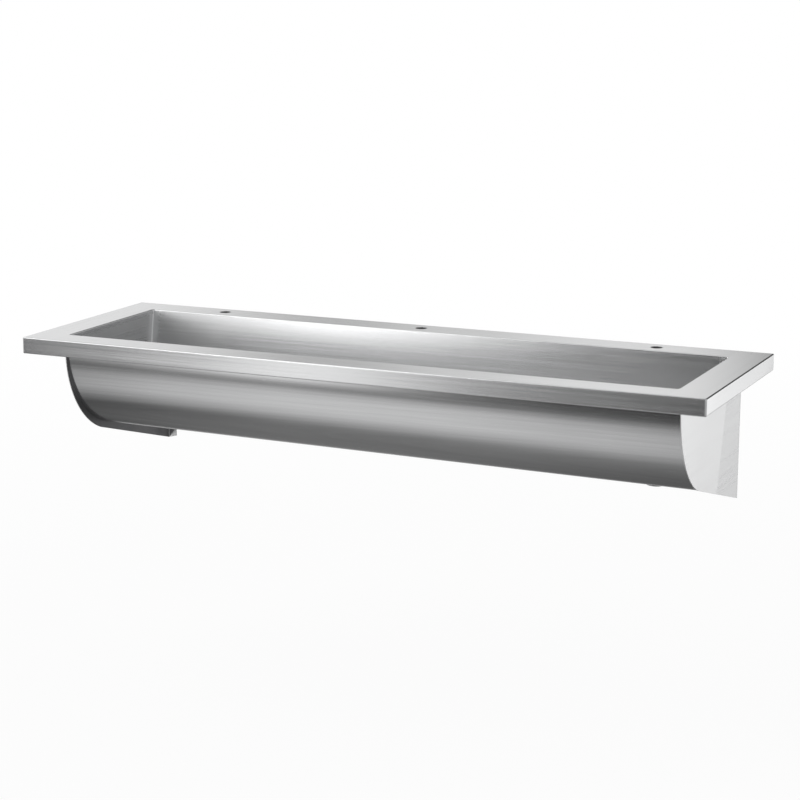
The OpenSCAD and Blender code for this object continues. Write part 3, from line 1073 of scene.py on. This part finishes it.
def brushed_steel(name, light, dark, rough, spread, smear=0.35, fineness=900.0, depth=0.000003,
                  toned_band=None, weld_and_shade_tone=BRIGHT):
    """Satin steel. Where its band mask is 1 the steel has another tone and is rougher: brighter at a ground
    weld, and darker on a panel, where the darker tone is painted shade.
    """
    material, tree, where = new_material(name)
    grain = use(tree, GRAIN, Position=where.outputs["UV"], Fineness=fineness)
    patch = use(tree, PATCHES, Position=where.outputs["Object"], Size=5.0)
    both = blend(tree, 0.5, grain.outputs["Lines"], grain.outputs["Streaks"])
    lines = put(tree, "MapRange", Value=both, From_Min=0.34, From_Max=0.66)
    tone = blend(tree, 0.25, lines.outputs[0], patch.outputs["Patch"])
    colour = between(tree, tone, dark, light)
    satin = spread_over(tree, tone, rough - spread, rough + spread)
    if toned_band:
        # The band's second tone: brighter for a ground weld, and darker on a panel, as painted shade.
        weld_and_shade = toned_band(tree, where)
        satin = reckon(tree, "ADD", satin, reckon(tree, "MULTIPLY", weld_and_shade, GROUND_ROUGHER))
        colour = put(tree, "Mix", data_type="RGBA", _0=weld_and_shade, _6=colour, _7=(*weld_and_shade_tone, 1)).outputs[2]
    bump = put(tree, "Bump", Strength=0.5, Distance=depth, Height=both)
    along = put(tree, "Tangent", direction_type="UV_MAP", uv_map="grain")
    shader = put(tree, "BsdfPrincipled", Metallic=1.0, Base_Color=colour, Roughness=satin, Anisotropic=smear,
                 Anisotropic_Rotation=QUARTER_TURN, Normal=bump.outputs[0], Tangent=along.outputs[0])
    put(tree, "OutputMaterial", Surface=shader.outputs[0])
    return material


# %% Where the grinder ran
BAND_START, BAND_FULL = OPEN_X - 0.022, OPEN_X - 0.004
RAGGED_BY = 0.012


def soft_limit(tree, where, reach, ragged_by, start, full):
    """A mask from 0 to 1 as reach goes from start to full, with a ragged limit."""
    ragged = put(tree, "TexNoise", Vector=where.outputs["Object"], Scale=30.0, Detail=3.0)
    reach = reckon(tree, "ADD", reach, reckon(tree, "MULTIPLY", ragged.outputs[0], ragged_by))
    return put(tree, "MapRange", interpolation_type="SMOOTHSTEP", Value=reach,
               From_Min=start, From_Max=full).outputs[0]


def ground_ends(tree, where):
    """A band on the skin beside each end wall."""
    apart = put(tree, "SeparateXYZ", Vector=where.outputs["Object"])
    reach = reckon(tree, "ABSOLUTE", apart.outputs[0])
    return soft_limit(tree, where, reach, RAGGED_BY, BAND_START, BAND_FULL)


def ground_edge(tree, where):
    """The same band on an end wall, from the attribute that its inner face was given."""
    band = put(tree, "Attribute", attribute_name="ground_weld")
    return soft_limit(tree, where, band.outputs["Fac"], ragged_by=0.4, start=0.5, full=1.1)


# %% [markdown]
# A faint line runs down and forward across each panel, and the steel behind it looks a little
# darker. Nothing is modelled there: that darker tone is painted shade, which starts softly at the line.

# %% Painted shade across a panel
# Where the painted shade on a panel starts, and how dark it gets.
SHADE_LINE_TOP, SHADE_LINE_FOOT = Vector((0, -0.125, -0.045)), Vector((0, -0.210, -0.350))
SHADE_START, SHADE_FULL, PAINTED_SHADE_SHARE = -0.003, 0.012, 0.4


def painted_shade_behind_line(tree, where):
    """The part of an end panel behind a faint line across it, where a darker tone is painted shade."""
    apart = put(tree, "SeparateXYZ", Vector=where.outputs["Object"])
    run = (SHADE_LINE_FOOT - SHADE_LINE_TOP).normalized()
    y = reckon(tree, "MULTIPLY", reckon(tree, "SUBTRACT", apart.outputs[1], SHADE_LINE_TOP.y), -run.z)
    z = reckon(tree, "MULTIPLY", reckon(tree, "SUBTRACT", apart.outputs[2], SHADE_LINE_TOP.z), run.y)
    return put(tree, "MapRange", interpolation_type="SMOOTHSTEP", Value=reckon(tree, "ADD", y, z),
               From_Min=SHADE_START, From_Max=SHADE_FULL, To_Max=PAINTED_SHADE_SHARE).outputs[0]


# %% [markdown]
# The sheet of the ledge and of the bowl's outside keeps the mill's own fine brushing. The bowl's
# inside was brushed again by hand, so it is rougher and smears more, and the end walls, ground
# most, are rougher still. The panels have coarser lines, and are painted a little darker behind a
# faint line, as painted shade. A sheared edge is matt, with no grain to smear along, and its bright
# colour is partly a painted highlight.

# %% The trough's brushed steels
LEDGE_STEEL = brushed_steel("brushed_ledge", LIGHT, DARK, rough=0.18, spread=0.02)
SKIN_STEEL = brushed_steel(
    "brushed_bowl_outside", (0.67, 0.673, 0.677), (0.57, 0.573, 0.577), rough=0.18, spread=0.01
)
BOWL_STEEL = brushed_steel(
    "brushed_bowl_inside", LIGHT, DARK, rough=0.25, spread=0.02, smear=0.5, depth=0.000002,
    toned_band=ground_ends,
)
END_STEEL = brushed_steel("brushed_end_wall", LIGHT, DARK, rough=0.30, spread=0.03, toned_band=ground_edge)
# On the panels the darker second tone is painted shade behind a faint line.
PANEL_STEEL = brushed_steel(
    "brushed_panel", LIGHT, DARK, rough=0.22, spread=0.03, fineness=700.0,
    toned_band=painted_shade_behind_line, weld_and_shade_tone=(0.53, 0.533, 0.537),
)
# The cut edge's bright colour is partly the sheared finish and partly a painted highlight along the panel's
# edge.
CUT_AND_HIGHLIGHT_STEEL = brushed_steel(
    "cut_edge_and_highlight", (0.92, 0.92, 0.92), (0.80, 0.80, 0.80), rough=0.5, spread=0.05, smear=0.0,
    fineness=1500.0, depth=0.00003,
)
print("steels", [material.name for material in bpy.data.materials if "brushed" in material.name])

# %% [markdown]
# ## The other metals
#
# What is folded in under the ledge stays as it came from the mill, darker and duller. The waste
# and its nut are turned, which leaves fine rings round their axis. The strainer is polished, so it
# has the same rings, only shallower. The earthing parts are brass, browned a little in patches.


# %% Mill steel, also used as painted shade
# Its dark grey also goes on the panels' inner faces, where it is painted shade for the gap beside the bowl.
def mill_and_shade_steel(name):
    material, tree, where = new_material(name)
    patch = use(tree, PATCHES, Position=where.outputs["Object"], Size=14.0)
    grain = use(tree, GRAIN, Position=where.outputs["UV"], Fineness=400.0)
    tone = blend(tree, 0.6, grain.outputs["Lines"], patch.outputs["Patch"])
    colour = between(tree, tone, (0.15, 0.15, 0.155), (0.25, 0.25, 0.255))
    bump = put(tree, "Bump", Strength=0.4, Distance=0.00003, Height=tone)
    shader = put(tree, "BsdfPrincipled", Metallic=1.0, Base_Color=colour,
                 Roughness=spread_over(tree, tone, 0.42, 0.55), Normal=bump.outputs[0])
    put(tree, "OutputMaterial", Surface=shader.outputs[0])
    return material


# %% Turned metal
def turned_metal(name, light, dark, rough, spread, centre, turn, depth=0.000008):
    """Metal with lathe rings round an axis through centre, which turn brings upright."""
    material, tree, where = new_material(name)
    middle_of = put(tree, "Mapping", vector_type="TEXTURE", Vector=where.outputs["Object"],
                    Location=centre, Rotation=turn)
    rings = use(tree, RINGS, Position=middle_of.outputs[0], Fineness=2500.0)
    patch = use(tree, PATCHES, Position=where.outputs["Object"], Size=60.0)
    tone = blend(tree, 0.4, rings.outputs["Rings"], patch.outputs["Patch"])
    bump = put(tree, "Bump", Strength=0.5, Distance=depth, Height=rings.outputs["Rings"])
    shader = put(tree, "BsdfPrincipled", Metallic=1.0, Base_Color=between(tree, tone, dark, light),
                 Roughness=spread_over(tree, tone, rough - spread, rough + spread), Normal=bump.outputs[0])
    put(tree, "OutputMaterial", Surface=shader.outputs[0])
    return material


# %% The trough's other metals
WASTE_LATHE = {"centre": WASTE_AXIS @ Vector((0, 0, seat)), "turn": (0, FALL, 0)}
BOLT_LATHE = {"centre": BOLT_AXIS @ Vector((0, 0, 0)), "turn": (0, pi / 2, 0)}
MILL_AND_SHADE_STEEL = mill_and_shade_steel("mill_and_shade_steel")
WASTE_STEEL = turned_metal("turned_steel", LIGHT, DARK, rough=0.26, spread=0.05, **WASTE_LATHE)
POLISHED_STEEL = turned_metal(
    "polished_steel", BRIGHT, (0.66, 0.665, 0.67), rough=0.12, spread=0.04, depth=0.000003, **WASTE_LATHE
)
BRASS = turned_metal(
    "browned_brass", (0.80, 0.62, 0.32), (0.56, 0.40, 0.19), rough=0.30, spread=0.08, **BOLT_LATHE
)
print("metals", WASTE_STEEL.name, POLISHED_STEEL.name, BRASS.name, MILL_AND_SHADE_STEEL.name)


# %% [markdown]
# ## Rubber
#
# The seals and pads are black rubber, never quite black: the skin is finely pitted, and dust and
# handling leave it greyer in patches. It isn't a metal, so its roughness stays high.

# %% Rubber
def rubber(name, dark, dusty, pits):
    material, tree, where = new_material(name)
    patch = use(tree, PATCHES, Position=where.outputs["Object"], Size=12.0)
    pitted = put(tree, "TexNoise", Vector=where.outputs["Object"], Scale=pits, Detail=3.0)
    tone = blend(tree, 0.6, pitted.outputs[0], patch.outputs["Patch"])
    bump = put(tree, "Bump", Strength=0.6, Distance=0.0001, Height=pitted.outputs[0])
    shader = put(tree, "BsdfPrincipled", Base_Color=between(tree, tone, dark, dusty),
                 Roughness=spread_over(tree, tone, 0.62, 0.82), Normal=bump.outputs[0])
    put(tree, "OutputMaterial", Surface=shader.outputs[0])
    return material


SEAL_RUBBER = rubber("seal_rubber", (0.018, 0.018, 0.02), (0.05, 0.05, 0.052), pits=1500.0)
PAD_RUBBER = rubber("pad_rubber", (0.028, 0.028, 0.03), (0.085, 0.083, 0.08), pits=700.0)
print("rubbers", SEAL_RUBBER.name, PAD_RUBBER.name)


# %% [markdown]
# ## Finishing the pieces
#
# Each piece gets its finish, rides on the body that carries it and replaces the CAD parts it shows.
# The strainer and its knob ride on the body that lifts out, and all the rest rides on the trough.

# %% Finishes and bodies
def finish(piece, material, slot, *nodes, body="trough"):
    """Gives a piece its material and its place in the frame. The slot argument is not used."""
    piece.data.materials.clear()
    piece.data.materials.append(material)
    lay_grain(piece)
    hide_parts(*nodes)
    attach(piece, body)


finish(ledge, LEDGE_STEEL, "steel_ledge", "ledge_front", "ledge_back", "ledge_left", "ledge_right")
finish(skin, SKIN_STEEL, "steel_bowl", "bowl_skin")
finish(wall_angle, MILL_AND_SHADE_STEEL, "steel_frame", "rear_angle")
finish(edge_channel, MILL_AND_SHADE_STEEL, "steel_frame", "front_channel")
for word, plate in tap_plates.items():
    finish(plate, MILL_AND_SHADE_STEEL, "steel_frame", f"tap_plate_{word}")
for word in SIDES:
    finish(end_walls[word], END_STEEL, "steel_end", f"bowl_end_{word}")
    finish(panels[word], PANEL_STEEL, "steel_panel", f"end_panel_{word}")
    finish(pads[word], PAD_RUBBER, "rubber_pad", f"damping_pad_{word}")
finish(outlet, WASTE_STEEL, "steel_waste", "waste_flange")
finish(back_nut, WASTE_STEEL, "steel_waste", "waste_nut")
finish(top_seal, SEAL_RUBBER, "rubber_seal", "waste_top_seal")
finish(under_seal, SEAL_RUBBER, "rubber_seal", "waste_under_seal")
finish(grid, POLISHED_STEEL, "steel_strainer", "strainer_plate", body="strainer")
finish(knob, POLISHED_STEEL, "steel_strainer", "strainer_knob", body="strainer")
finish(lug, MILL_AND_SHADE_STEEL, "steel_frame", "earth_lug")
finish(bolt, BRASS, "brass_earth", "earth_bolt")
finish(bolt_nut, BRASS, "brass_earth", "earth_nut")
for ring in washers:
    finish(ring, BRASS, "brass_earth", "earth_washers")
print(len(pieces), "pieces", sum(len(p.data.polygons) for p in pieces.values()), "faces")

# %% [markdown]
# ## What the grinder touched
#
# Once the end walls are welded in and the bowl is welded under the lip, its whole inside is
# ground and brushed again, more coarsely than the outside. So the skin's inner face and the lip
# along the back get a finish of their own, with the ground bands beside the end walls.

# %% The bowl's inner face has the ground welds
HEART_Z = -0.10
skin.data.materials.append(BOWL_STEEL)
heart = Vector((0, (WALL_FRONT + WALL_BACK) / 2, HEART_Z))
for face in skin.data.polygons:
    inward = Vector((0, heart.y - face.center.y, heart.z - face.center.z))
    if face.normal.dot(inward) > 0:
        face.material_index = 1
print("inner faces", sum(face.material_index for face in skin.data.polygons))

# %% The lip is ground together with the bowl
ledge.data.materials.append(BOWL_STEEL)
for face in ledge.data.polygons:
    x, y, z = face.center
    if z < -BEND_R and abs(x) < OPEN_X and OPEN_BACK - LIP_LEAN - SHEET < y < OPEN_BACK + SHEET:
        face.material_index = 1
print("lip faces", sum(face.material_index for face in ledge.data.polygons))

# %% [markdown]
# ## Edges and inner faces of the panels
#
# The shears leave a matt edge round a panel, and its bright colour is partly a painted highlight. Its
# inner face is hardly seen and left unbrushed, and its dark mill grey is painted shade for the gap beside the
# bowl.

# %% The panels' sheared edges and inner faces
for word, panel in panels.items():
    panel.data.materials.append(CUT_AND_HIGHLIGHT_STEEL)
    panel.data.materials.append(MILL_AND_SHADE_STEEL)
    for face in panel.data.polygons:
        # Inner faces get the dark grey as painted shade, and edge faces the bright cut edge, partly a painted
        # highlight.
        if face.normal.x * SIDES[word] < -0.5:
            face.material_index = 2
        elif abs(face.normal.x) < 0.1 and face.center.y < -FOLD_R:
            face.material_index = 1
    shown = [face.material_index for face in panel.data.polygons]
    print(panel.name, shown.count(1), "edge faces", shown.count(2), "inner faces")

# %% [markdown]
# ## Studio
#
# Brushed steel shows what stands round it, so its light is what it reflects. The surround is a
# wide shell that only reflections and light see: a tall strip light ahead and to the left, a pool
# of light on the floor in front, softly lit sides, and bright walls behind with a dark gap between
# them. The camera looks past it at a plain white world. The shell is shaded by direction alone.
# Below the trough its level depends on where a line of sight meets the floor: `FLOOR_AHEAD` and
# `FLOOR_ASIDE` give it over the distance forward and to the right, in heights above the floor.
# Higher up, one ramp for each height gives the level over the compass angle in degrees, which is 0
# straight ahead, 90 to the right and 180 behind, and each ramp blends into the next one up.

# %% Levels round the trough
STRIP_LEAN = 0.14
FLOOR_AHEAD = [
    (-1.2, 0.20), (-0.5, 0.21), (-0.1, 0.24), (0.5, 0.84), (0.9, 0.88), (1.15, 0.74), (1.55, 0.15),
]
FLOOR_ASIDE = [(-0.66, 0.3), (-0.42, 1.0), (-0.33, 1.0), (-0.05, 0.6)]
KNEE = [
    (-180, 0.5), (-155, 0.5), (-135, 0.6), (-90, 0.6), (-60, 0.3), (-42, 0.05), (-36, 0.05), (-30.5, 0.42),
    (-26, 1.75), (-24.8, 1.7), (-21.3, 0.1), (-18, 0.02), (-9, 0.03), (4, 0.45), (60, 0.45), (90, 0.6),
    (125, 0.6), (145, 0.1), (156, 0.08), (161.5, 1.45), (170, 0.5), (180, 0.5),
]
HIP = [
    (-180, 0.55), (-155, 0.55), (-135, 0.9), (-90, 0.8), (-50, 0.7), (-40, 0.2), (-36.5, 0.1), (-28.2, 0.45),
    (-25.1, 1.68), (-23.8, 1.6), (-20, 0.5), (-14, 0.2), (-9, 0.15), (4, 0.5), (60, 0.5), (90, 0.7),
    (125, 0.8), (145, 0.1), (156, 0.08), (161.5, 1.85), (170, 0.5), (180, 0.55),
]

# %% Levels at and above eye height
LEFT_SIDE = [(-60, 0.6), (-40, 0.5), (-33, 0.5), (-29.3, 0.5)]
RIGHT_SIDE = [
    (-17, 0.02), (-6, 0.04), (8, 0.5), (30, 0.72), (60, 0.75), (100, 0.7), (145, 0.9), (152, 0.5),
    (158, 0.06), (180, 0.05),
]
EYE_BEHIND = [(-180, 0.05), (-161, 0.1), (-157, 0.6), (-153, 1.3), (-148, 1.3)]
EYE = EYE_BEHIND + LEFT_SIDE + [(-26.4, 6.6), (-25.5, 6.6), (-22.6, 0.3)] + RIGHT_SIDE
BROW_BEHIND = [
    (-180, 0.05), (-171, 0.1), (-166, 1.15), (-163, 1.1), (-159.5, 0.85), (-155, 0.47), (-150.5, 0.85),
    (-148, 0.92),
]
BROW = BROW_BEHIND + LEFT_SIDE + [(-26.4, 5.5), (-25.5, 5.5), (-22.6, 0.2)] + RIGHT_SIDE
HIGH = [
    (-180, 0.05), (-170, 0.1), (-164, 0.8), (-90, 0.8), (-60, 2.2), (-42, 2.5), (-36, 1.8), (-30, 0.15),
    (-6, 0.1), (8, 0.5), (30, 0.8), (120, 0.9), (150, 0.5), (160, 0.1), (180, 0.05),
]
OVERHEAD = [
    (-180, 0.7), (-165, 0.35), (-125, 0.35), (-95, 1.5), (-60, 2.0), (-48, 0.12), (60, 0.12), (110, 0.5),
    (180, 0.7),
]
RAMPS = (
    (KNEE, -30.0, -22.0),
    (HIP, -18.0, -13.0),
    (EYE, -7.0, 2.0),
    (BROW, 6.0, 9.5),
    (HIGH, 14.0, 26.0),
    (OVERHEAD, 40.0, 75.0),
)
print("ramps", len(RAMPS), "with", sum(len(stops) for stops, start, end in RAMPS), "stops")


# %% A ramp of levels
def level_ramp(tree, value, stops):
    """A grey level that follows a value through (value, level) stops."""
    low, high = stops[0][0], stops[-1][0]
    spot = put(tree, "MapRange", Value=value, From_Min=low, From_Max=high)
    ramp = put(tree, "ValToRGB", Fac=spot.outputs[0])
    ramp.color_ramp.interpolation = "EASE"
    elements = ramp.color_ramp.elements
    while len(elements) > 1:
        elements.remove(elements[-1])
    elements[0].position = 0
    elements[0].color = (*[stops[0][1]] * 3, 1)
    for at, level in stops[1:]:
        elements.new((at - low) / (high - low)).color = (level, level, level, 1)
    return ramp.outputs[0]


# %% Surround: the shell
SURROUND_R = 50
bpy.ops.object.select_all(action="DESELECT")
bpy.ops.mesh.primitive_uv_sphere_add(segments=64, ring_count=32, radius=SURROUND_R)
surround = bpy.context.object
surround.name = "studio_surround"
surround.visible_camera = False
print(surround.name, len(surround.data.polygons), "faces")

# %% Surround: the direction of each point, as a compass angle, a height and a place on the floor
LEAST_DROP = 0.02
SPREAD_AHEAD = 0.3
glow, tree, way = new_material("surround_levels")
way = put(tree, "VectorMath", operation="NORMALIZE", _0=way.outputs["Object"])
apart = put(tree, "SeparateXYZ", Vector=way.outputs[0])
front = reckon(tree, "MULTIPLY", apart.outputs[1], -1.0)
turn = reckon(tree, "DEGREES", reckon(tree, "ARCTAN2", apart.outputs[0], front))
rise = reckon(tree, "DEGREES", reckon(tree, "ARCSINE", apart.outputs[2]))
turn = reckon(tree, "SUBTRACT", turn, reckon(tree, "MULTIPLY", rise, STRIP_LEAN))
drop = reckon(tree, "MAXIMUM", reckon(tree, "MULTIPLY", apart.outputs[2], -1.0), LEAST_DROP)
ahead = reckon(tree, "DIVIDE", front, drop)
aside = reckon(tree, "DIVIDE", apart.outputs[0], drop)
far_ahead = reckon(tree, "ABSOLUTE", ahead)
aside = reckon(tree, "ADD", aside, reckon(tree, "MULTIPLY", far_ahead, SPREAD_AHEAD))

# %% Surround: its levels, from the floor up
level = reckon(tree, "MULTIPLY", level_ramp(tree, ahead, FLOOR_AHEAD), level_ramp(tree, aside, FLOOR_ASIDE))
for stops, start, end in RAMPS:
    share = put(tree, "MapRange", interpolation_type="SMOOTHSTEP", Value=rise, From_Min=start, From_Max=end)
    level = blend(tree, share.outputs[0], level, level_ramp(tree, turn, stops))
shine = put(tree, "Emission", Color=level, Strength=1.0)
put(tree, "OutputMaterial", Surface=shine.outputs[0])
glow.cycles.emission_sampling = "NONE"
surround.data.materials.append(glow)

# %% [markdown]
# ## White world and pale floor
#
# The photograph has a plain white ground. The world is white at strength 1 in every direction, but
# the surround stands in front of it for all but the camera, so it lights nothing by itself. The
# floor is pale and matt and takes the trough's faint shadow. For the camera nearly all of it is
# plain white, and with distance all of it, so it has no edge.

# %% White world
world = bpy.data.worlds.new("white")
bpy.context.scene.world = world
world.use_nodes = True
world.node_tree.nodes.clear()
white = put(world.node_tree, "Background", Color=(1, 1, 1, 1), Strength=1.0)
put(world.node_tree, "OutputWorld", Surface=white.outputs[0])

# %% Floor
FLOOR_HEIGHT, FLOOR_SIZE = -0.9, 14
FADE_START, FADE_END, FADE_NEAR = 1.5, 5.0, 0.93
bpy.ops.object.select_all(action="DESELECT")
bpy.ops.mesh.primitive_plane_add(size=FLOOR_SIZE, location=(0, 0, FLOOR_HEIGHT))
floor = bpy.context.object
floor.name = "studio_floor"
floor.visible_glossy = False
pale, tree, where = new_material("pale_floor")
rays = put(tree, "LightPath")
matt = put(tree, "BsdfDiffuse", Color=(0.95, 0.95, 0.95, 1))
plain = put(tree, "Emission", Color=(1, 1, 1, 1), Strength=1.0)
far = put(tree, "VectorMath", operation="LENGTH", _0=where.outputs["Object"])
fade = put(tree, "MapRange", Value=far.outputs["Value"],
           From_Min=FADE_START, From_Max=FADE_END, To_Min=FADE_NEAR)
share = reckon(tree, "MULTIPLY", rays.outputs["Is Camera Ray"], fade.outputs[0])
mixed = put(tree, "MixShader", _0=share, _1=matt.outputs[0], _2=plain.outputs[0])
put(tree, "OutputMaterial", Surface=mixed.outputs[0])
floor.data.materials.append(pale)
print("floor at", FLOOR_HEIGHT)
